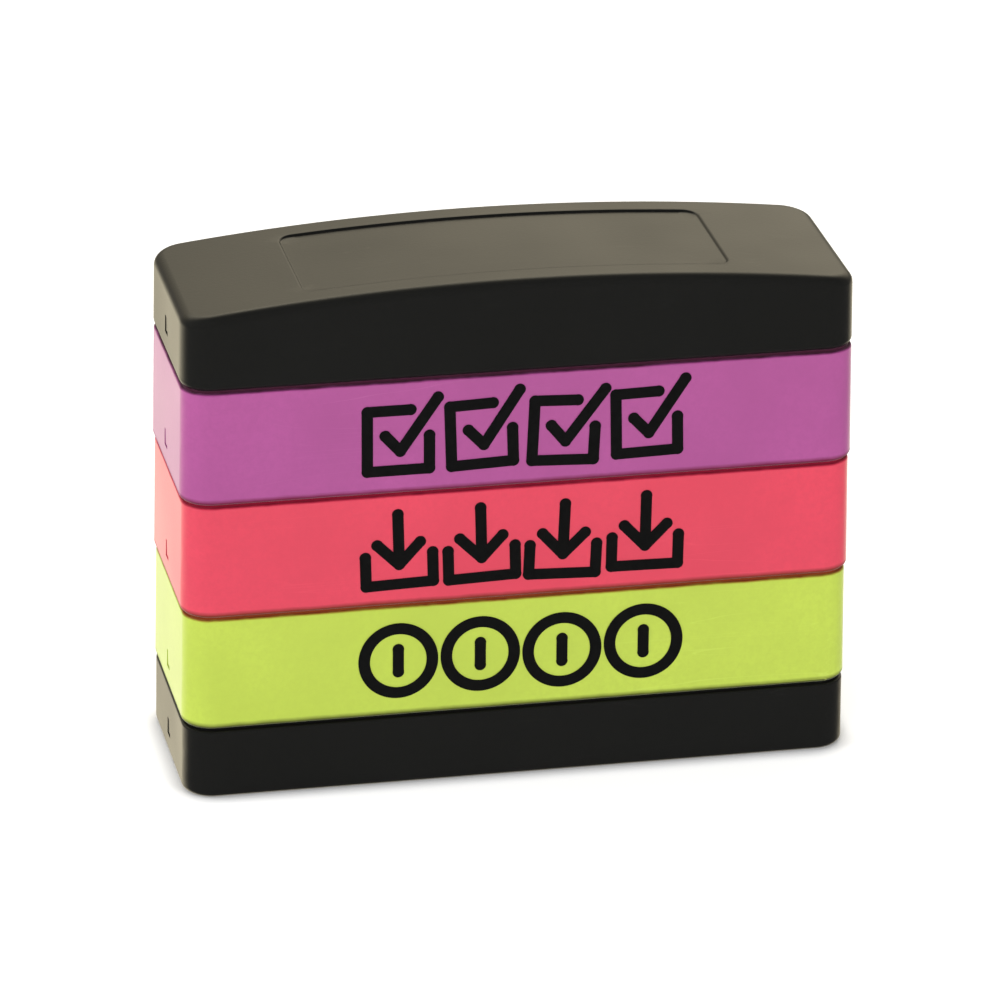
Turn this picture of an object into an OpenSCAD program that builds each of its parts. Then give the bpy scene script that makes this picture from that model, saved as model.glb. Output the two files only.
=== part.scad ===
// A stack of three pre-inked message stamps that plug into each other, with a black
// handle on top and a black base below. Millimetres, +Z up, X along the length.
// The origin is the middle of the face that the base stands on.

/* [Body] */
// Length of a coloured stamp and of the base at the rim, along X
body_w = 72.2; // [70:0.1:80]
// Depth of a coloured stamp and of the base at the rim, along Y
body_d = 23.6; // [23:0.2:28]
// Radius of the upright corners, seen from above
corner_r = 3.3; // [3.2:0.1:4]
// Wall thickness of the moulded shells
wall = 1.3; // [1.2:0.05:1.4]
// How much narrower a coloured case is at its top than at its rim, on each side
draft = 0.22; // [0.05:0.01:0.3]
// How much narrower the base is at its top than at its foot, on each side
base_draft = 0.1; // [0:0.01:0.2]

/* [Heights] */
// Height of the base between its foot and the first seam
base_h = 8; // [7:0.5:10]
// Height of one coloured stamp from seam to seam
stamp_h = 12.8; // [12.4:0.2:15]
// Height of the handle from its seam to its crown
handle_h = 10.1; // [9.5:0.1:12]
// Radius of the arched top of the handle
arch_r = 272; // [250:1:400]
// How far the handle stands back from the rims below, on each side
handle_in = 0.18; // [0:0.01:0.3]
// Rounding of the handle's top edges
handle_round = 1.1; // [0.6:0.1:1.4]

/* [Interlock] */
// Height of the spigot that plugs into the piece above
spigot_h = 3.3; // [3.2:0.1:3.6]
// Wall thickness of the spigot
spigot_t = 1.1; // [1:0.05:1.2]
// Free space between a spigot and the skirt around it
spigot_gap = 0.2; // [0.15:0.05:0.25]
// Depth of the well that keeps the next die from drying, below the seam
well = 1.7; // [1.6:0.1:2]
// Thickness of the deck under the well
deck_t = 1.3; // [1.2:0.1:1.5]
// Height of the dark line that shows between two pieces
seam = 0.3; // [0.1:0.05:0.35]

/* [Latch windows] */
// Width of the window in the middle of each end wall
window_w = 1.7; // [1.4:0.1:2.4]
// Height of the window
window_h = 1.9; // [1.6:0.1:2.4]
// Height of the window's sill above the rim
window_z = 2.2; // [2.1:0.1:2.3]

/* [Label recess] */
// Length of the recess in the top of the handle
recess_w = 45; // [40:1:50]
// Depth of the recess along Y
recess_d = 16; // [14:0.5:17]
// How far the recess is sunk into the arched top
recess_t = 0.3; // [0.2:0.05:0.7]

/* [Die] */
// How far the die reaches below the rim before it is pressed
die_out = 1; // [0.8:0.1:1.2]
// Length of the porous rubber that prints
die_w = 47; // [44:0.5:48]
// Height of the raised mark on the die
relief = 0.8; // [0.6:0.1:0.9]
// Width of a stroke of the mark
stroke_w = 1.25; // [0.9:0.05:1.4]

/* [Return springs] */
// Distance of each spring from the middle of the stamp
spring_x = 28.4; // [28:0.1:29]
// Mean radius of a spring's coils
spring_r = 1.9; // [1.8:0.05:2]
// Wire thickness of a spring
wire = 0.35; // [0.3:0.05:0.4]
// Turns of a spring, of which the first and the last are closed
turns = 6; // [5:1:7]

/* [Hidden] */
$fn = 64;
COLOURS = ["lime", "coral", "purple"];
UNIT_NODES = ["case", "print", "carriage", "bezel", "die", "ink_pad", "springs"];
paint = ["#c3da52", "#ee4468", "#b9559f"];
ink = ["#7d9a1e", "#b3173c", "#6d2260"];
black = "#23231f";
felt = "#3a3a34";

// Places measured inwards from the outer face of a shell.
spigot_out = wall + spigot_gap;             // outer face of the spigot
spigot_in = spigot_out + spigot_t;          // inner face of the spigot
ring_in = spigot_in + 0.3;                  // where the swept ring meets the flat deck
ledge_in = 0.6;                             // where the ledge that carries the next rim starts
rim_round = 0.6;                            // rounding of a rim's outer edge
foot_round = 0.8;                           // rounding of the base's foot
shoulder_round = 0.25;                      // rounding of a shell's top outer edge
mouth_chamfer = 0.3;                        // lead-in on the spigot

// Heights above the rim of a stamp.
deck_z = stamp_h - well - deck_t;           // underside of the deck
slab_z = relief - die_out;                  // underside of the die's slab
bezel_t = 1;
flange_t = 0.8;                             // the die's clamped flange
tray_z = bezel_t + flange_t;                // underside of the carriage
tray_t = 1.2;
pad_top = 5.8;
roof_t = 1.2;
wing_z = 3.9;                               // underside of the wings that carry the springs
wing_t = 1.2;
wing_x = 31.9;
wing_d = 12;

// Plan sizes of the moving parts, which hang inside the spigot of the piece below.
unit_d = body_d - 2 * spigot_in - 0.6;      // depth of the carriage and the bezel
unit_w = 54;
die_d = unit_d - 2.1;
flange_over = 0.45;                         // the flange's margin around the slab
pad_w = die_w - 1;
pad_d = unit_d - 2.4;
housing_w = pad_w + 2.4;
slack = 0.1;                                // free space around the pad
post_r = 1.2;                               // guide post of a spring
post_fit = 0.08;                            // running clearance of the post in its wing
port_x = 14;                                // ink ports, either side of the middle
port_r = 1;
pin_x = 25.6;                               // pins that hold the bezel to the carriage
pin_y = 6.5;
pin_r = 0.7;
hook_t = 1.1;
hook_w = 2.6;
hook_y = 3.9;
hook_reach = 0.9;
lip_t = 0.8;

function level(i) = base_h + i * stamp_h;   // seam under stamp i, counted from the base
top_level = level(len(COLOURS));

// ---------------------------------------------------------------- shared shapes

module rounded_rect(w, d, r) {
    union() {
        square([w - 2 * r, d], center = true);
        square([w, d - 2 * r], center = true);
        for (x = [-1, 1], y = [-1, 1])
            translate([x * (w / 2 - r), y * (d / 2 - r)]) circle(r);
    }
}

module slab(w, d, r, z, t) {
    translate([0, 0, z]) linear_extrude(t) rounded_rect(w, d, r);
}

module block(w, d, z, t) {
    translate([-w / 2, -d / 2, z]) cube([w, d, t]);
}

// Sweeps a profile round the rounded outline of a shell, set in from the outline of the
// rims. In the profile, x = 0 is the outer face and y is the height.
module around_shell(inset = 0) {
    half = [body_w / 2 - inset, body_d / 2 - inset];
    straight = [2 * (half.y - corner_r), 2 * (half.x - corner_r)];
    for (i = [0:3]) rotate(90 * i) {
        translate([half[i % 2], 0, 0]) rotate([90, 0, 0])
            linear_extrude(straight[i % 2], center = true) children();
        translate([half[i % 2] - corner_r, half[(i + 1) % 2] - corner_r, 0])
            rotate_extrude(angle = 90) translate([corner_r, 0]) children();
    }
}

// What a rounding takes off the corner [x, y] of a profile; side is 1 for a top edge.
module edge_round(x, y, r, side) {
    translate([x, y]) difference() {
        translate([-r, side > 0 ? -r : -1]) square([r + 1, r + 1]);
        translate([-r, -side * r]) circle(r);
    }
}

// Section through the wall, ledge, spigot and deck edge of a shell of height h.
module shell_profile(h, slope, foot) {
    shoulder = h - seam;
    difference() {
        polygon([
            [-wall, 0], [0, 0], [-slope, shoulder], [-ledge_in, shoulder], [-ledge_in, h],
            [-spigot_out, h], [-spigot_out, h + spigot_h - mouth_chamfer],
            [-spigot_out - mouth_chamfer, h + spigot_h], [-spigot_in, h + spigot_h],
            [-spigot_in, h - well], [-ring_in, h - well], [-ring_in, h - well - deck_t],
            [-wall, h - well - deck_t]
        ]);
        edge_round(0, 0, foot, -1);
        edge_round(-slope, shoulder, shoulder_round, 1);
    }
}

module latch_windows() {
    block(body_w + 2, window_w, window_z, window_h);
}

// The spring tongue that hangs in each window, a little behind the outer face.
module latch_tongues(inset = 0) {
    gap = 0.2;
    set_back = 0.12;
    tongue_t = 0.9;
    for (s = [-1, 1]) translate([s * (body_w / 2 - inset - set_back - tongue_t / 2), 0, 0])
        block(tongue_t, window_w - 2 * gap, window_z + gap, window_h);
}

// The two beads on the ends of a spigot that the tongues of the piece above click over.
module latch_beads(out, z) {
    bead_r = 0.4;
    for (s = [-1, 1])
        translate([s * (body_w / 2 - out + spigot_gap - 0.05 - bead_r), 0, z])
            rotate([90, 0, 0]) cylinder(h = window_w - 0.3, r = bead_r, center = true);
}

// A shell with its spigot, well and deck, and windows through its end walls.
module stacking_shell(h, slope, foot) {
    latch_tongues();
    difference() {
        union() {
            around_shell() shell_profile(h, slope, foot);
            slab(body_w - 2 * ring_in + 0.2, body_d - 2 * ring_in + 0.2,
                corner_r - ring_in + 0.1, h - well - deck_t, deck_t);
            latch_beads(spigot_out, h + window_z + 0.5);
        }
        difference() {
            latch_windows();
            block(body_w - 2 * wall, window_w + 2, -1, window_z + window_h + 2);
        }
    }
}

// ---------------------------------------------------------------- marks

// A bent line with round ends through the points.
module stroke(points) {
    union() {
        for (p = points) translate(p) circle(stroke_w / 2);
        for (i = [1:len(points) - 1]) {
            step = points[i] - points[i - 1];
            translate(points[i - 1]) rotate(atan2(step.y, step.x))
                translate([0, -stroke_w * 0.48]) square([norm(step), stroke_w * 0.96]);
        }
    }
}

module coin() {
    difference() {
        circle(4.3);
        circle(4.3 - stroke_w);
    }
    stroke([[0, -1.3], [0, 1.3]]);
}

module arrow_into_tray() {
    stroke([[-3.6, -0.6], [-3.6, -3.9], [3.6, -3.9], [3.6, -0.6]]);
    stroke([[0, 4], [0, -1.7]]);
    stroke([[-2.3, 0.7], [0, -1.7], [2.3, 0.7]]);
}

module ticked_box() {
    stroke([[3.2, 0], [3.2, -3.7], [-3.4, -3.7], [-3.4, 3], [1.2, 3]]);
    stroke([[-1.5, 0.2], [0.1, -1.6], [4.1, 4.2]]);
}

// The mark of stamp i as it reads from the front: four coins, arrows into trays, or ticked
// boxes, each a little out of true like a drawing by hand.
module mark(i) {
    for (k = [0:3]) translate([(k - 1.5) * 8.85, 0.15 * sin(k * 140)]) {
        if (i == 0) coin();
        if (i == 1) rotate(2.5 * sin(k * 100 + 40)) arrow_into_tray();
        if (i == 2) rotate(2.5 * sin(k * 130)) ticked_box();
    }
}

// ---------------------------------------------------------------- base

module base_shell() {
    color(black) stacking_shell(base_h, base_draft, foot_round);
}

module base_plate() {
    plug = wall + 0.1;
    rim_t = 1;
    rim_top = 3.9;
    color(black) union() {
        slab(body_w - 2 * plug, body_d - 2 * plug, corner_r - plug, 0, 1.2);
        difference() {
            slab(body_w - 2 * plug, body_d - 2 * plug, corner_r - plug, 1.2, rim_top - 1.2);
            slab(body_w - 2 * (plug + rim_t), body_d - 2 * (plug + rim_t), corner_r - plug - rim_t,
                1.2, rim_top);
        }
        for (x = [-18, 0, 18]) translate([x, 0, 0]) block(1, body_d - 2 * plug - 1, 1.2, 1.6);
        for (s = [-1, 1]) translate([s * (body_w / 2 - wall - 0.3), 0, window_z + window_h / 2])
            rotate([90, 0, 0]) cylinder(h = window_w - 0.3, r = 0.4, center = true);
    }
}

// ---------------------------------------------------------------- stamps

module case_inside() {
    // guide posts of the springs
    for (s = [-1, 1]) translate([s * spring_x, 0, 3.2]) cylinder(h = deck_z - 3.2 + 0.1, r = post_r);
    // hooks that catch the wings of the carriage
    for (s = [-1, 1], y = [-hook_y, hook_y]) translate([s * (wing_x + 0.2), y, 0]) mirror([s < 0 ? 1 : 0, 0, 0])
        translate([0, -hook_w / 2, 0]) {
            translate([0, 0, wing_z - lip_t]) cube([hook_t, hook_w, deck_z - wing_z + lip_t + 0.1]);
            translate([-hook_reach, 0, wing_z - lip_t]) cube([hook_reach + 0.1, hook_w, lip_t]);
        }
    // ribs under the deck
    for (x = [-21, -7, 7, 21]) translate([x, 0, 0])
        block(0.9, body_d - 2 * wall, deck_z - 1.3, 1.4);
}

module stamp_case(i) {
    color(paint[i]) translate([0, 0, level(i)]) difference() {
        union() {
            stacking_shell(stamp_h, draft, rim_round);
            case_inside();
        }
        for (s = [-1, 1]) translate([s * port_x, 0, deck_z - 1])
            cylinder(h = deck_t + 2, r = port_r);
    }
}

// The ink film on the drafted front face.
module stamp_print(i) {
    film = 0.05;
    lean = atan2(draft, stamp_h - seam);
    color("#0d0c0d") translate([0, -body_d / 2, level(i)]) rotate([90 - lean, 0, 0])
        translate([0, stamp_h / 2, 0.003]) linear_extrude(film) mark(i);
}

module wing(s) {
    inner = housing_w / 2 - 0.5;
    translate([s * (inner + wing_x) / 2, 0, 0]) block(wing_x - inner, wing_d, wing_z, wing_t);
}

module stamp_carriage(i) {
    color(black) translate([0, 0, level(i)]) difference() {
        union() {
            slab(unit_w, unit_d, 0.8, tray_z, tray_t);
            slab(housing_w, unit_d, 0.8, tray_z, pad_top + roof_t - tray_z);
            for (s = [-1, 1]) wing(s);
        }
        slab(pad_w + 2 * slack, pad_d + 2 * slack, 0.6, tray_z - 1, pad_top - tray_z + 1);
        for (s = [-1, 1]) {
            translate([s * spring_x, 0, wing_z - 1]) cylinder(h = wing_t + 2, r = post_r + post_fit);
            translate([s * port_x, 0, pad_top - 1]) cylinder(h = roof_t + 2, r = port_r);
            for (y = [-pin_y, pin_y]) translate([s * pin_x, y, tray_z - 1])
                cylinder(h = tray_t + 1.5, r = pin_r + 0.05);
        }
    }
}

module stamp_bezel(i) {
    rabbet = 2 * (flange_over + slack);
    color(black) translate([0, 0, level(i)]) union() {
        difference() {
            slab(unit_w, unit_d, 0.8, 0, tray_z);
            slab(die_w + 2 * slack, die_d + 2 * slack, 0.5, -1, tray_z + 2);
            slab(die_w + rabbet, die_d + rabbet, 0.5, bezel_t, tray_z);
        }
        for (x = [-pin_x, pin_x], y = [-pin_y, pin_y]) translate([x, y, tray_z - 0.2])
            cylinder(h = tray_t + 0.1, r = pin_r);
    }
}

module stamp_die(i) {
    color(ink[i]) translate([0, 0, level(i)]) union() {
        slab(die_w, die_d, 0.5, slab_z, bezel_t - slab_z);
        slab(die_w + 2 * flange_over, die_d + 2 * flange_over, 0.5, bezel_t, flange_t);
        translate([0, 0, -die_out]) linear_extrude(relief + 0.1) mark(i);
    }
}

module stamp_ink_pad(i) {
    color(felt) translate([0, 0, level(i)])
        slab(pad_w, pad_d, 0.5, tray_z, pad_top - tray_z - 0.05);
}

// Height of a spring's wire above its foot after t turns: closed turns at both ends.
function coil_height(t, length) =
    let (closed = wire * 1.06, pitch = (length - wire - 2 * closed) / (turns - 2))
    wire / 2 + closed * min(t, 1) + pitch * max(0, min(t - 1, turns - 2))
        + closed * max(0, t - turns + 1);

function ring_points(t, length, sides) =
    let (a = 360 * t, z = coil_height(t, length))
    [for (k = [0:sides - 1])
        let (b = 360 * k / sides, out = spring_r + wire / 2 * cos(b))
        [out * cos(a), out * sin(a), z + wire / 2 * sin(b)]];

module coil_spring(length) {
    sides = 6;
    per_turn = 16;
    rings = turns * per_turn;
    points = [for (j = [0:rings]) each ring_points(j / per_turn, length, sides)];
    sleeve = [for (j = [0:rings - 1], k = [0:sides - 1])
        let (a = j * sides + k, b = j * sides + (k + 1) % sides)
        [a, a + sides, b + sides, b]];
    first = [for (k = [0:sides - 1]) k];
    last = [for (k = [sides - 1:-1:0]) rings * sides + k];
    polyhedron(points, concat(sleeve, [first, last]));
}

module stamp_springs(i) {
    foot = wing_z + wing_t + 0.02;
    color("silver") for (s = [-1, 1]) translate([s * spring_x, 0, level(i) + foot])
        coil_spring(deck_z - foot - 0.02);
}

// ---------------------------------------------------------------- handle

// A cylinder lying along Y whose top is drop below the crown of the handle.
module arch(drop, d) {
    translate([0, 0, handle_h - arch_r]) rotate([90, 0, 0])
        cylinder(h = d, r = arch_r - drop, center = true, $fn = 900);
}

// The arched outside, with rounded top edges along the sides and at the ends.
module handle_outside() {
    w = body_w - 2 * handle_in;
    d = body_d - 2 * handle_in;
    end_z = handle_h - arch_r + sqrt(arch_r * arch_r - w * w / 4);
    intersection() {
        slab(w, d, corner_r, 0, handle_h + 1);
        translate([0, 0, handle_h - arch_r]) rotate([90, 0, 0]) rotate_extrude($fn = 900) difference() {
            translate([0, -d / 2]) square([arch_r, d]);
            edge_round(arch_r, d / 2, handle_round, 1);
            mirror([0, 1]) edge_round(arch_r, d / 2, handle_round, 1);
        }
        rotate([90, 0, 0]) linear_extrude(body_d, center = true) difference() {
            translate([-w / 2, 0]) square([w, handle_h + 1]);
            for (s = [0, 1]) mirror([s, 0]) translate([w / 2, end_z]) rotate(-asin(w / 2 / arch_r) / 2)
                edge_round(0, 0, handle_round, 1);
        }
    }
}

module handle() {
    ceiling = 2.2;
    rib_z = 5;
    color(black) translate([0, 0, top_level]) {
        latch_tongues(handle_in);
        difference() {
            union() {
                difference() {
                    handle_outside();
                    intersection() {
                        slab(body_w - 2 * wall, body_d - 2 * wall, corner_r - wall, -1, handle_h);
                        arch(ceiling, body_d);
                    }
                }
                intersection() {
                    union() for (x = [-24, -12, 0, 12, 24]) translate([x, 0, 0])
                        block(1, body_d - wall, rib_z, handle_h);
                    arch(ceiling / 2, body_d);
                }
            }
            difference() {
                slab(recess_w, recess_d, 1.5, 0, handle_h + 1);
                arch(recess_t, body_d);
            }
            difference() {
                latch_windows();
                block(body_w - 2 * wall, window_w + 2, -1, handle_h);
            }
            around_shell(handle_in) edge_round(0, 0, rim_round, -1);
        }
    }
}

// ---------------------------------------------------------------- nodes

base_shell();
base_plate();
handle();
for (i = [0:len(COLOURS) - 1]) {
    stamp_case(i);
    stamp_print(i);
    stamp_carriage(i);
    stamp_bezel(i);
    stamp_die(i);
    stamp_ink_pad(i);
    stamp_springs(i);
}
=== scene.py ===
"""A stack of three pre-inked message stamps between a black base and a black arched handle.

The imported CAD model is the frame. This script adds the studio, the finishes and the shapes
that need finer mesh work: the handle with its soft edges, and the wire of the springs.
"""
import math

import bmesh
import bpy
from mathutils import Matrix, Vector


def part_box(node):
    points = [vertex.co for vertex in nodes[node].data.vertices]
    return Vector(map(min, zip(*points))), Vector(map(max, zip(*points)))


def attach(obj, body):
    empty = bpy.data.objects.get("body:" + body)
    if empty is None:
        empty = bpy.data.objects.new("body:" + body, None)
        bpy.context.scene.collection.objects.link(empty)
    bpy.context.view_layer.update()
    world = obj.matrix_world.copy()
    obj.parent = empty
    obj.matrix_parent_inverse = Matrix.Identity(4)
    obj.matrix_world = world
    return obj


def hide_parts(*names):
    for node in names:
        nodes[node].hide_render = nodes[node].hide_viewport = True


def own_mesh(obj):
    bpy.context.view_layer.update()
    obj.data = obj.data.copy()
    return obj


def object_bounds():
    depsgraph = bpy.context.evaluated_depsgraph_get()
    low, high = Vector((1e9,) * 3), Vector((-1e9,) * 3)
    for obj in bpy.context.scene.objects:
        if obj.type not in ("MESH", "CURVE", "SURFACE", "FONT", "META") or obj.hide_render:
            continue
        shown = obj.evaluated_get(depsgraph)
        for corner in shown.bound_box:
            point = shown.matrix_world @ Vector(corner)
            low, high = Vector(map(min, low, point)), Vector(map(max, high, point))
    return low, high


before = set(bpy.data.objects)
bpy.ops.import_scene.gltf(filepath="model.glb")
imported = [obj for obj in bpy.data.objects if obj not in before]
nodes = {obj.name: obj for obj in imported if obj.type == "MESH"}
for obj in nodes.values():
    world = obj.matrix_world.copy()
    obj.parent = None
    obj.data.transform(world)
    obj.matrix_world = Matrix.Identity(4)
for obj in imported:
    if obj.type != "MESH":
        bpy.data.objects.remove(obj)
cad_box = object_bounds()
low, high = cad_box

MM = 0.001
COLOURS = ("lime", "coral", "purple")

# Sizes of the CAD model.
STAMP_HEIGHT = 12.8 * MM  # from the rim of one stamp to the rim of the next
SEAM = 0.3 * MM  # open gap between a shoulder and the rim above it
WALL = 1.3 * MM
CORNER = 3.3 * MM  # rounding of the stack's upright edges
ARCH_RADIUS = 272 * MM
WINDOW_LOW, WINDOW_HIGH = 2.2 * MM, 4.1 * MM  # above the rim
WINDOW_HALF = 0.85 * MM  # half of its width

# How far in from the outside the painted shade of the seams shows, on the walls and across the
# corners.
SEAM_SHADE_DEPTH, SEAM_SHADE_CORNER = 1.25 * MM, 1.2 * MM

# How fine the patterns of the plastic are, as noise scales.
FLOW_SCALE, SPECK_SCALE, SEAM_SHADE_EDGE_SCALE = 55, 1500, 400
HANDLED_SCALE, HAIRLINE_SCALE = 40, 22
GRAIN_SCALE, WAVE_SCALE = 2600, 160

SHARP_ANGLE = math.radians(32)  # edges above it stay sharp


# ---------------------------------------------------------------- camera

def make_camera():
    """A long lens, to the left of the front face and above it, with a slight roll."""
    distance, aim_height = 0.699, 0.0252
    place_azimuth, place_elevation = math.radians(11.99), math.radians(23.31)
    azimuth, elevation, roll = math.radians(11.99), math.radians(23.18), math.radians(0.65)
    place = Vector((
        -math.sin(place_azimuth) * math.cos(place_elevation),
        -math.cos(place_azimuth) * math.cos(place_elevation),
        math.sin(place_elevation),
    )) * distance + Vector((0, 0, aim_height))
    level = Vector((math.cos(azimuth), -math.sin(azimuth), 0))
    upward = Vector((
        math.sin(azimuth) * math.sin(elevation),
        math.cos(azimuth) * math.sin(elevation),
        math.cos(elevation),
    ))
    right = level * math.cos(roll) + upward * math.sin(roll)
    up = upward * math.cos(roll) - level * math.sin(roll)
    data = bpy.data.cameras.new("camera")
    data.sensor_width, data.lens = 36, 235
    data.clip_start, data.clip_end = 0.01, 20
    camera = bpy.data.objects.new("camera", data)
    turn = Matrix((right, up, right.cross(up))).transposed()
    camera.matrix_world = Matrix.Translation(place) @ turn.to_4x4()
    bpy.context.scene.collection.objects.link(camera)
    bpy.context.scene.camera = camera


# ---------------------------------------------------------------- shader helpers

class Shading:
    """Adds nodes to a shader tree and links them."""

    def __init__(self, tree):
        self.tree = tree

    def set(self, node, name, value):
        socket = node.inputs[name]
        if isinstance(value, bpy.types.NodeSocket):
            self.tree.links.new(value, socket)
        else:
            socket.default_value = value

    def add(self, kind, inputs=None, **settings):
        node = self.tree.nodes.new(kind)
        for name, value in settings.items():
            setattr(node, name, value)
        for name, value in (inputs or {}).items():
            self.set(node, name, value)
        return node

    def mix(self, factor, a, b, mode="MIX"):
        node = self.add("ShaderNodeMix", {0: factor, 6: a, 7: b}, data_type="RGBA", blend_type=mode)
        return node.outputs[2]

    def remap(self, value, start, end, low, high):
        node = self.add("ShaderNodeMapRange", {
            "Value": value, "From Min": start, "From Max": end, "To Min": low, "To Max": high,
        })
        return node.outputs["Result"]

    def math(self, operation, a, b):
        return self.add("ShaderNodeMath", {0: a, 1: b}, operation=operation).outputs[0]

    def noise(self, place, scale, detail=2.0, rough=0.5):
        node = self.add("ShaderNodeTexNoise", {
            "Vector": place, "Scale": scale, "Detail": detail, "Roughness": rough,
        })
        return node.outputs["Fac"]

    def bump(self, height, strength, distance, under=None):
        inputs = {"Height": height, "Strength": strength, "Distance": distance}
        if under is not None:
            inputs["Normal"] = under
        return self.add("ShaderNodeBump", inputs).outputs[0]


def new_material(name):
    material = bpy.data.materials.new(name)
    material.use_nodes = True
    tree = material.node_tree
    tree.nodes.clear()
    shading = Shading(tree)
    output = shading.add("ShaderNodeOutputMaterial")
    shader = shading.add("ShaderNodeBsdfPrincipled")
    tree.links.new(shader.outputs[0], output.inputs["Surface"])
    place = shading.add("ShaderNodeTexCoord").outputs["Object"]
    return material, shading, shader, place


def shade(colour, factor):
    return tuple(c * factor for c in colour) + (1,)


# ---------------------------------------------------------------- finishes

def scratches(s, place, scale, turn, width):
    """Fine straight hairlines in one direction: thin bands of stretched noise."""
    turned = s.add("ShaderNodeMapping", {"Vector": place, "Rotation": turn, "Scale": (1, 30, 30)})
    streak = s.noise(turned.outputs[0], scale, 1, 0.4)
    off = s.math("ABSOLUTE", s.math("SUBTRACT", streak, 0.5), 0)
    return s.remap(off, 0, width, 1, 0)


def plastic(name, colour, roughness, grain=0.25, scuff=0.04, sheen=0.0, seams=()):
    """Moulded plastic: a spark-eroded grain, slow flow marks in the colour, duller patches
    where it was handled and a few hairlines. Painted shade darkens the seams, each given as
    (height, how far the painted shade reaches from it, its colour)."""
    material, s, shader, place = new_material(name)
    flow = s.noise(place, FLOW_SCALE, 3, 0.6)
    speck = s.noise(place, SPECK_SCALE, 2, 0.7)
    tint = s.mix(s.remap(flow, 0.35, 0.65, 0, 1), shade(colour, 0.94), shade(colour, 1.05))
    tint = s.mix(s.remap(speck, 0.35, 0.65, 0, 0.5), tint, shade(colour, 0.92))
    axes = s.add("ShaderNodeSeparateXYZ", {"Vector": place})
    out_x, out_y = (s.math("ABSOLUTE", axes.outputs[axis], 0) for axis in "XY")
    past_x = s.math("SUBTRACT", out_x, high.x - SEAM_SHADE_DEPTH)
    past_y = s.math("SUBTRACT", out_y, high.y - SEAM_SHADE_DEPTH)
    corner = s.math("ADD", s.math("ADD", past_x, past_y), SEAM_SHADE_CORNER)
    past = s.math("MAXIMUM", s.math("MAXIMUM", past_x, past_y), corner)
    outside = s.math("GREATER_THAN", past, 0)
    shade_edge_noise = s.noise(place, SEAM_SHADE_EDGE_SCALE, 2, 0.6)
    uneven = s.math("MULTIPLY", s.math("SUBTRACT", shade_edge_noise, 0.5), 0.2 * MM)
    dull = 0.0
    # Painted shade: each seam darkens the colour in an uneven band about its height, on the outer
    # faces only.
    for level, reach, seam_shade_tone in seams:
        height = s.math("ADD", axes.outputs["Z"], uneven)
        away = s.math("ABSOLUTE", s.math("SUBTRACT", height, level), 0)
        seam_shade_mask = s.math("MULTIPLY", outside, s.remap(away, 0.4 * reach, reach, 1, 0))
        tint = s.mix(seam_shade_mask, tint, (*seam_shade_tone, 1))
        dull = s.math("MAXIMUM", dull, seam_shade_mask)
    hairline = scratches(s, place, HAIRLINE_SCALE, (0.3, 0.2, 0.6), 0.006)
    handled = s.noise(place, HANDLED_SCALE, 2, 0.6)
    hairline = s.math("MULTIPLY", hairline, s.remap(handled, 0.45, 0.65, 0, 1))
    pale = tuple(min(1, c * 1.1 + scuff) for c in colour) + (1,)
    s.set(shader, "Base Color", s.mix(s.math("MULTIPLY", hairline, 0.5), tint, pale))
    rough = s.remap(handled, 0.3, 0.7, roughness - 0.05, roughness + 0.06)
    rough = s.math("SUBTRACT", rough, s.math("MULTIPLY", hairline, 0.05))
    s.set(shader, "Roughness", s.math("ADD", rough, s.math("MULTIPLY", dull, 0.5)))
    shader.inputs["Sheen Weight"].default_value = sheen
    shader.inputs["Sheen Roughness"].default_value = 0.3
    fine = s.bump(s.noise(place, GRAIN_SCALE, 3, 0.7), grain, 0.04 * MM)
    s.set(shader, "Normal", s.bump(s.noise(place, WAVE_SCALE, 2, 0.5), 0.15, 0.03 * MM, fine))
    return material


def printed_ink(name, colour):
    """A flat pad-printed film: even, a little duller than what it lies on, with pinholes."""
    material, s, shader, place = new_material(name)
    film = s.noise(place, 2600, 2, 0.6)
    thick, thin = shade(colour, 0.8), shade(colour, 1.5)
    s.set(shader, "Base Color", s.mix(s.remap(film, 0.3, 0.7, 0, 1), thick, thin))
    s.set(shader, "Roughness", s.remap(film, 0.3, 0.7, 0.48, 0.6))
    shader.inputs["Specular IOR Level"].default_value = 0.3
    s.set(shader, "Normal", s.bump(film, 0.15, 0.01 * MM))
    return material


def porous_rubber(name, colour):
    """Foam rubber full of ink: fine open pores, wet between them."""
    material, s, shader, place = new_material(name)
    pores = s.add("ShaderNodeTexVoronoi", {"Vector": place, "Scale": 3600.0}).outputs["Distance"]
    soak = s.noise(place, 300, 3, 0.6)
    clear_of_pore_shade = s.remap(pores, 0.1, 0.4, 0, 1)
    wet = s.mix(s.remap(soak, 0.3, 0.7, 0, 1), shade(colour, 0.7), shade(colour, 1.15))
    # Painted shade: the pores are darkened to 0.4 of the colour in their hollows.
    s.set(shader, "Base Color", s.mix(clear_of_pore_shade, shade(colour, 0.4), wet))
    s.set(shader, "Roughness", s.remap(soak, 0.3, 0.7, 0.3, 0.6))
    s.set(shader, "Normal", s.bump(pores, 0.4, 0.05 * MM))
    return material


def soaked_felt(name, colour):
    """Dense felt that lies flat, dark with ink between its fibres."""
    material, s, shader, place = new_material(name)
    stretched = s.add("ShaderNodeMapping", {"Vector": place, "Scale": (1, 1, 6)})
    fibre = s.noise(stretched.outputs[0], 1800, 4, 0.75)
    s.set(shader, "Base Color", s.mix(fibre, shade(colour, 0.5), shade(colour, 1.5)))
    s.set(shader, "Roughness", s.remap(fibre, 0.3, 0.7, 0.75, 0.95))
    s.set(shader, "Normal", s.bump(fibre, 0.8, 0.1 * MM))
    return material


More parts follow.
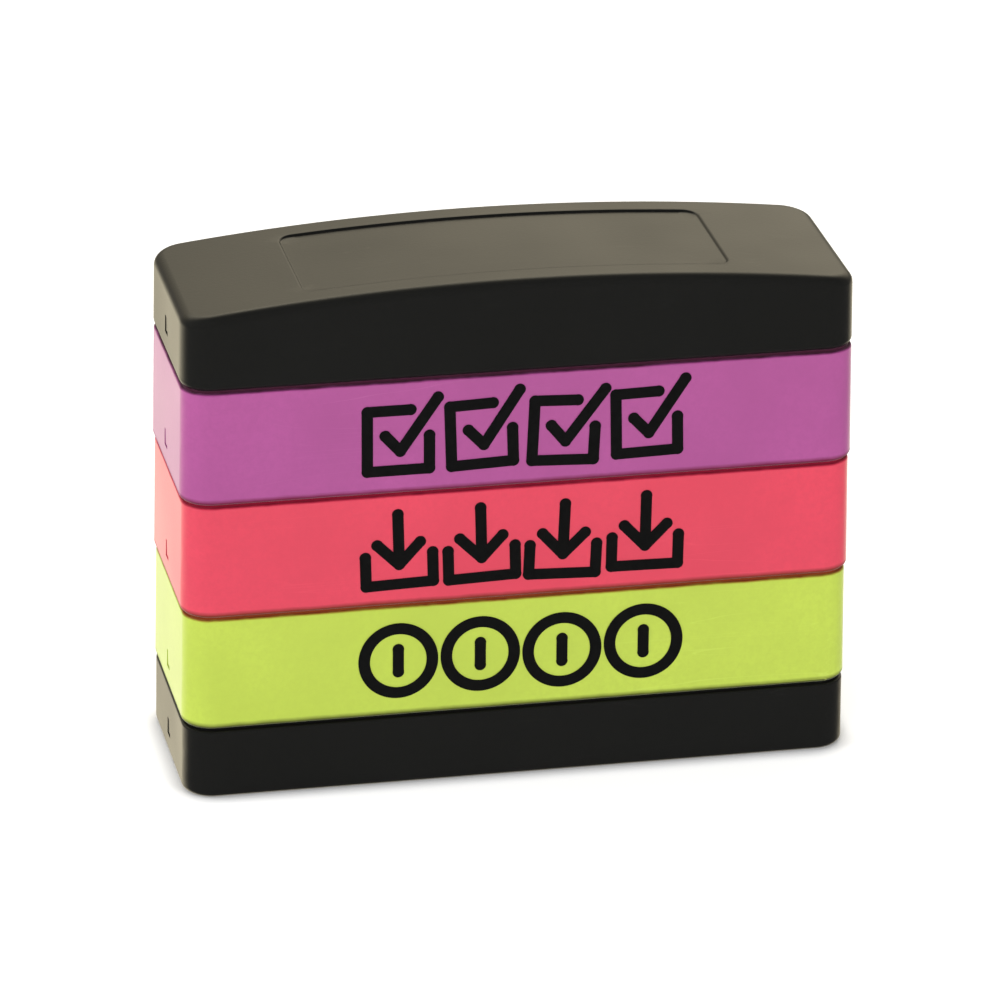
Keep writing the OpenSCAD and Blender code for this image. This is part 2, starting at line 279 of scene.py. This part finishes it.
def spring_wire(name):
    """Drawn stainless wire: bright, with fine die lines and a trace of tarnish."""
    material, s, shader, place = new_material(name)
    drawn = s.noise(place, 6000, 2, 0.6)
    tarnish = s.noise(place, 500, 2, 0.5)
    tint = s.mix(s.remap(tarnish, 0.4, 0.7, 0, 1), (0.62, 0.62, 0.63, 1), (0.5, 0.46, 0.41, 1))
    s.set(shader, "Base Color", tint)
    s.set(shader, "Roughness", s.remap(drawn, 0.3, 0.7, 0.2, 0.38))
    shader.inputs["Metallic"].default_value = 1
    s.set(shader, "Normal", s.bump(drawn, 0.2, 0.01 * MM))
    return material


# ---------------------------------------------------------------- studio

def sky(world):
    """A warm white sheet behind the object, brightest low down, with a dim band at the horizon
    and a dim room in front. The camera itself sees plain white."""
    world.use_nodes = True
    tree = world.node_tree
    tree.nodes.clear()
    s = Shading(tree)
    output = s.add("ShaderNodeOutputWorld")
    direction = s.add("ShaderNodeTexCoord").outputs["Generated"]
    axes = s.add("ShaderNodeSeparateXYZ", {"Vector": direction})
    behind = s.add("ShaderNodeMapRange", {
        "Value": axes.outputs["Y"], "From Min": 0.2, "From Max": 0.85, "To Min": 0.0, "To Max": 1.0,
    }, interpolation_type="SMOOTHSTEP").outputs["Result"]
    below = s.remap(axes.outputs["Z"], -0.28, -0.08, 1, 0)
    above = s.remap(axes.outputs["Z"], 0.10, 0.30, 0, 1)
    overhead = s.remap(axes.outputs["Z"], 0.48, 0.62, 0, 1)
    rightward = s.remap(axes.outputs["X"], 0.0, 0.3, 0, 1)
    room, horizon = (0.10, 0.10, 0.10, 1), (0.25, 0.23, 0.19, 1)
    sheet, top = (1.68, 1.51, 1.10, 1), (2.4, 2.2, 1.7, 1)
    paper_left, paper_right, white = (0.58, 0.52, 0.38, 1), (1.62, 1.45, 1.07, 1), (1, 1, 1, 1)
    paper = s.mix(overhead, s.mix(rightward, paper_left, paper_right), top)
    glow = s.mix(behind, room, s.mix(above, s.mix(below, horizon, sheet), paper))
    seen = s.add("ShaderNodeLightPath").outputs["Is Camera Ray"]
    back = s.add("ShaderNodeBackground", {"Color": s.mix(seen, glow, white)})
    tree.links.new(back.outputs[0], output.inputs["Surface"])


def area_light(name, place, aim, size, power):
    """A soft lamp that leaves no reflection of its own on the plastic."""
    data = bpy.data.lights.new(name, "AREA")
    data.shape = "DISK"
    data.size = size
    data.energy = power
    light = bpy.data.objects.new(name, data)
    light.location = place
    light.rotation_euler = (Vector(aim) - Vector(place)).to_track_quat("-Z", "Y").to_euler()
    light.visible_glossy = False
    bpy.context.scene.collection.objects.link(light)


def make_floor():
    """A matt white floor that glows, less so right under the object, for a thin soft shadow."""
    mesh = bpy.data.meshes.new("floor")
    half, gap = 3.0, 0.02 * MM
    corners = [(-half, -half, 0), (half, -half, 0), (half, half, 0), (-half, half, 0)]
    mesh.from_pydata(corners, [], [(0, 1, 2, 3)])
    floor = bpy.data.objects.new("floor", mesh)
    floor.location.z = low.z - gap
    bpy.context.scene.collection.objects.link(floor)
    material, s, shader, place = new_material("floor")
    tone = s.noise(place, 3, 2, 0.5)
    s.set(shader, "Base Color", s.mix(tone, (0.80, 0.80, 0.80, 1), (0.82, 0.82, 0.82, 1)))
    shader.inputs["Roughness"].default_value = 1.0
    shader.inputs["Specular IOR Level"].default_value = 0.0
    shader.inputs["Emission Color"].default_value = (1, 1, 1, 1)
    open_sky = s.add("ShaderNodeAmbientOcclusion", {"Distance": 2.2 * MM}, samples=8).outputs["AO"]
    s.set(shader, "Emission Strength", s.remap(open_sky, 0.45, 0.95, 0.12, 0.62))
    mesh.materials.append(material)
    floor.visible_glossy = False


def make_studio():
    settings = bpy.context.scene.view_settings
    settings.view_transform = "Standard"
    settings.look = "None"
    world = bpy.data.worlds.new("studio")
    bpy.context.scene.world = world
    sky(world)
    aim = (0, 0, 0.03)
    area_light("key", (-0.35, -0.9, 0.75), aim, size=0.5, power=3.9)
    area_light("fill", (0.6, -0.8, 0.5), aim, size=0.6, power=3.9)
    area_light("side", (-0.9, 0.1, 0.45), aim, size=0.8, power=5)
    make_floor()


# ---------------------------------------------------------------- shapes

def clean_normals_group():
    """Joins the faces of a CAD shape, keeps its corners sharp and makes its roundings smooth."""
    group = bpy.data.node_groups.new("clean_normals", "GeometryNodeTree")
    group.interface.new_socket("Geometry", in_out="INPUT", socket_type="NodeSocketGeometry")
    group.interface.new_socket("Geometry", in_out="OUTPUT", socket_type="NodeSocketGeometry")
    s = Shading(group)
    start = s.add("NodeGroupInput").outputs[0]
    bare = s.add("GeometryNodeRemoveAttribute", {"Geometry": start, "Name": "custom_normal"})
    joined = s.add("GeometryNodeMergeByDistance", {"Geometry": bare.outputs[0], "Distance": 1e-6})
    angle = s.add("GeometryNodeInputMeshEdgeAngle").outputs["Unsigned Angle"]
    gentle = s.add(
        "FunctionNodeCompare", {0: angle, 1: SHARP_ANGLE},
        data_type="FLOAT", operation="LESS_THAN",
    ).outputs[0]
    faces = s.add("GeometryNodeSetShadeSmooth", {"Geometry": joined.outputs[0]}, domain="FACE")
    edges = s.add(
        "GeometryNodeSetShadeSmooth", {"Geometry": faces.outputs[0], "Shade Smooth": gentle},
        domain="EDGE",
    )
    s.add("NodeGroupOutput", {0: edges.outputs[0]})
    return group


def clean_normals(obj, group):
    obj.modifiers.new("clean_normals", "NODES").node_group = group
    weighted = obj.modifiers.new("weighted_normals", "WEIGHTED_NORMAL")
    weighted.keep_sharp = True


def new_object(name, mesh):
    obj = bpy.data.objects.new(name, mesh)
    bpy.context.scene.collection.objects.link(obj)
    return obj


def rounded_outline(half_x, half_y, radius, end_steps=6, corner_steps=10, side_steps=56):
    """Points of a rounded rectangle, anticlockwise from the middle of the right end, so that
    point i and point -1 - i mirror each other across the X axis."""
    flat_x, flat_y = half_x - radius, half_y - radius
    upper = [(half_x, flat_y * (2 * k + 1) / (2 * end_steps)) for k in range(end_steps)]
    for start, centre in ((0, flat_x), (90, -flat_x)):
        if start:
            upper += [(flat_x * (1 - 2 * k / side_steps), half_y) for k in range(1, side_steps)]
        for k in range(corner_steps + 1):
            angle = math.radians(start + 90 * k / corner_steps)
            upper.append((centre + radius * math.cos(angle), flat_y + radius * math.sin(angle)))
    upper += [(-x, y) for x, y in reversed(upper[:end_steps])]
    return upper + [(x, -y) for x, y in reversed(upper)]


def closed_mesh(name, points, faces):
    """A mesh of the faces, all turned outward."""
    mesh = bpy.data.meshes.new(name)
    mesh.from_pydata(points, [], faces)
    body = bmesh.new()
    body.from_mesh(mesh)
    bmesh.ops.recalc_face_normals(body, faces=body.faces)
    body.to_mesh(mesh)
    body.free()
    return mesh


def lofted_mesh(name, loops):
    """A closed mesh through loops of equal length, with both ends filled by rungs."""
    count = len(loops[0])
    points = [point for loop in loops for point in loop]
    faces = []
    for a in range(len(loops) - 1):
        for k in range(count):
            n = (k + 1) % count
            faces.append((a * count + k, a * count + n, (a + 1) * count + n, (a + 1) * count + k))
    for base in (0, (len(loops) - 1) * count):
        for k in range(count // 2 - 1):
            faces.append((base + k, base + k + 1, base + count - 2 - k, base + count - 1 - k))
    return closed_mesh(name, points, faces)


def between(start, end, steps):
    """Evenly spaced (half_x, half_y, radius, drop) rows after start, up to end."""
    return [
        tuple(a + (b - a) * k / steps for a, b in zip(start, end)) for k in range(1, steps + 1)
    ]


def block_mesh(name, boxes):
    """Plain boxes, each (low corner, high corner), in one mesh."""
    body = bmesh.new()
    for a, b in boxes:
        middle = (Vector(a) + Vector(b)) / 2
        size = Vector(b) - Vector(a)
        place = Matrix.Translation(middle) @ Matrix.Diagonal((*size, 1))
        bmesh.ops.create_cube(body, size=1, matrix=place)
    mesh = bpy.data.meshes.new(name)
    body.to_mesh(mesh)
    body.free()
    return mesh


def combine(obj, other_mesh, operation):
    """Adds or cuts other_mesh from obj with an exact boolean, applied at once."""
    other = new_object("tool", other_mesh)
    boolean = obj.modifiers.new("combine", "BOOLEAN")
    boolean.object, boolean.operation, boolean.solver = other, operation, "EXACT"
    bpy.context.view_layer.update()
    graph = bpy.context.evaluated_depsgraph_get()
    result = bpy.data.meshes.new_from_object(obj.evaluated_get(graph))
    obj.modifiers.remove(boolean)
    obj.data = result
    bpy.data.objects.remove(other)


def make_handle():
    """The handle: an arched shell with soft top edges and a sunk label field, ribs across its
    hollow, and a window with a spring tongue in each end. Its outline runs from the middle of
    the ceiling, down the inner wall, round the rim, up the outside and in over the arch."""
    bottom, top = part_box("handle")
    half_x, half_y, rim, crown = top.x, top.y, bottom.z, top.z
    soft, lip, lean = 1.1 * MM, 0.6 * MM, 0.1 * MM
    cave_x, cave_y = high.x - WALL, high.y - WALL

    def arch(x):
        return crown - ARCH_RADIUS + math.sqrt(ARCH_RADIUS ** 2 - x * x)

    def arched(row):
        hx, hy, radius, drop = row
        return [(x, y, arch(x) - drop) for x, y in rounded_outline(hx, hy, radius)]

    def flat(hx, hy, radius, height):
        return [(x, y, rim + height) for x, y in rounded_outline(hx, hy, radius)]

    ceiling, fillet = 2.2 * MM, 0.5 * MM
    heart = (26 * MM, 2 * MM, 1.5 * MM, ceiling)
    edge = (cave_x - fillet, cave_y - fillet, 1.5 * MM, ceiling)
    loops = [arched(row) for row in [heart] + between(heart, edge, 4)]
    for k in range(1, 4):
        a = math.radians(30 * k)
        out = fillet * (1 - math.sin(a))
        drop = ceiling + fillet * (1 - math.cos(a))
        loops.append(arched((cave_x - out, cave_y - out, 2 * MM - out, drop)))
    bevel = 0.15 * MM
    loops.append(flat(cave_x, cave_y, 2 * MM, bevel))
    loops.append(flat(cave_x + bevel, cave_y + bevel, 2 * MM + bevel, 0))
    for k in range(6):
        a = math.radians(18 * k)
        out = lip * (1 - math.sin(a))
        loops.append(flat(half_x - out, half_y - out, CORNER - out, lip * (1 - math.cos(a))))
    for k in range(11):
        a = math.radians(9 * k)
        out = lean + soft * (1 - math.cos(a))
        loops.append(arched((half_x - out, half_y - out, CORNER - out, soft * (1 - math.sin(a)))))
    field_x, field_y, field_corner = 22.95 * MM, 8.2 * MM, 1.7 * MM
    shoulder = (half_x - lean - soft, half_y - lean - soft, CORNER - lean - soft, 0)
    loops += [arched(row) for row in between(shoulder, (field_x, field_y, field_corner, 0), 7)]
    # The bank of the field: how far in from its ends and sides, and how deep, in millimetres.
    bank = [
        (0.08, 0.03, 0.01), (0.16, 0.05, 0.03), (0.23, 0.06, 0.07), (0.28, 0.07, 0.12),
        (0.32, 0.08, 0.17), (0.37, 0.11, 0.21), (0.46, 0.18, 0.23),
    ]
    for x_in, y_in, drop in bank:
        corner = field_corner - y_in * MM
        floor_edge = (field_x - x_in * MM, field_y - y_in * MM, corner, drop * MM)
        loops.append(arched(floor_edge))
    core = (16 * MM, 1.6 * MM, 1 * MM, bank[-1][2] * MM)
    loops += [arched(row) for row in between(floor_edge, core, 5)]
    handle = new_object("handle_shell", lofted_mesh("handle_shell", loops))

    rib_half, rib_reach, rib_foot, rib_spacing = 0.5 * MM, cave_y + 0.4 * MM, 5 * MM, 12 * MM
    ribs = []
    for k in range(-2, 3):
        x = k * rib_spacing
        ribs.append((
            (x - rib_half, -rib_reach, rim + rib_foot),
            (x + rib_half, rib_reach, arch(x) - WALL),
        ))
    combine(handle, block_mesh("ribs", ribs), "UNION")
    windows = []
    for side in (-1, 1):
        near, far = sorted((side * (cave_x - 1 * MM), side * (half_x + 1 * MM)))
        windows.append((
            (near, -WINDOW_HALF, rim + WINDOW_LOW),
            (far, WINDOW_HALF, rim + WINDOW_HIGH),
        ))
    combine(handle, block_mesh("windows", windows), "DIFFERENCE")
    gap, set_back, thick = 0.2 * MM, 0.12 * MM, 0.9 * MM
    tongues = []
    for side in (-1, 1):
        near, far = sorted((side * (half_x - set_back - thick), side * (half_x - set_back)))
        tongues.append((
            (near, -WINDOW_HALF + gap, rim + WINDOW_LOW + gap),
            (far, WINDOW_HALF - gap, rim + WINDOW_HIGH + gap),
        ))
    combine(handle, block_mesh("tongues", tongues), "UNION")
    return handle


def make_springs(colour):
    """Two helical springs with closed, ground ends, as they stand on the carriage's wings."""
    bottom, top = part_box(f"{colour}_springs")
    wire = 0.175 * MM
    radius = (top.y - bottom.y) / 2 - wire
    place_x = top.x - radius - wire
    turns, per_turn, sides = 6, 40, 12
    closed = 2.12 * wire
    free = (top.z - bottom.z - 2 * wire - 2 * closed) / (turns - 2)

    def height(t):
        first_turn, last_turn = closed * min(t, 1), closed * max(0, t - turns + 1)
        rise = first_turn + free * max(0, min(t - 1, turns - 2)) + last_turn
        return bottom.z + wire + rise

    points, faces = [], []
    for side in (-1, 1):
        first = len(points)
        for j in range(turns * per_turn + 1):
            t = j / per_turn
            angle = 2 * math.pi * t
            slim = wire * (0.55 + 0.45 * min(1, 2 * t, 2 * (turns - t)))
            for k in range(sides):
                b = 2 * math.pi * k / sides
                out = radius + wire * math.cos(b)
                points.append((
                    side * place_x + out * math.cos(angle),
                    out * math.sin(angle),
                    height(t) + slim * math.sin(b),
                ))
        rings = turns * per_turn
        for j in range(rings):
            for k in range(sides):
                n = (k + 1) % sides
                a = first + j * sides
                faces.append((a + k, a + n, a + sides + n, a + sides + k))
        faces.append(tuple(first + k for k in reversed(range(sides))))
        faces.append(tuple(first + rings * sides + k for k in range(sides)))
    mesh = closed_mesh(f"{colour}_spring_wire", points, faces)
    mesh.shade_smooth()
    return new_object(f"{colour}_spring_wire", mesh)


# ---------------------------------------------------------------- build

def paint(obj, material):
    obj.data.materials.clear()
    obj.data.materials.append(material)


make_camera()
make_studio()

black = plastic("black_plastic", (0.0092, 0.0092, 0.0083), 0.33, grain=0.3, scuff=0.006)
inner = plastic("inner_plastic", (0.014, 0.014, 0.014), 0.5, grain=0.15, scuff=0.006)
felt = soaked_felt("felt", (0.03, 0.03, 0.028))
ink = printed_ink("black_ink", (0.004, 0.004, 0.004))
steel = spring_wire("spring_steel")
shell_colours = {
    "lime": (0.54, 0.69, 0.078), "coral": (0.80, 0.058, 0.110), "purple": (0.44, 0.084, 0.31),
}
# Painted shade at the rim of each case, and on its shoulder: the colours of the dark seam lines.
seam_shade_colours = {
    "lime": ((0.10, 0.12, 0.010), (0.30, 0.055, 0.012)),
    "coral": ((0.22, 0.020, 0.008), (0.30, 0.005, 0.032)),
    "purple": ((0.16, 0.004, 0.045), (0.06, 0.010, 0.030)),
}
ink_colours = {
    "lime": (0.17, 0.26, 0.02), "coral": (0.36, 0.012, 0.03), "purple": (0.12, 0.015, 0.10),
}

group = clean_normals_group()
for node in ("base_shell", "base_plate"):
    paint(nodes[node], black)
for colour in COLOURS:
    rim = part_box(f"{colour}_case")[0].z
    rim_shade, shoulder_shade = seam_shade_colours[colour]
    shoulder = rim + STAMP_HEIGHT - SEAM / 2
    # Painted shade in a band at the rim and in a band at the shoulder.
    seams = [(rim, 0.8 * MM, rim_shade), (shoulder, 0.34 * MM, shoulder_shade)]
    case = plastic(f"{colour}_plastic", shell_colours[colour], 0.38, sheen=0.5, seams=seams)
    paint(nodes[f"{colour}_case"], case)
    paint(nodes[f"{colour}_print"], ink)
    paint(nodes[f"{colour}_carriage"], inner)
    paint(nodes[f"{colour}_bezel"], inner)
    paint(nodes[f"{colour}_die"], porous_rubber(f"{colour}_rubber", ink_colours[colour]))
    paint(nodes[f"{colour}_ink_pad"], felt)
    springs = make_springs(colour)
    paint(springs, steel)
    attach(springs, f"{colour}_stamp")
    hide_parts(f"{colour}_springs")
    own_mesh(springs)
for node in nodes.values():
    if not node.hide_render:
        clean_normals(node, group)

handle = make_handle()
paint(handle, black)
clean_normals(handle, group)
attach(handle, "handle")
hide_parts("handle")
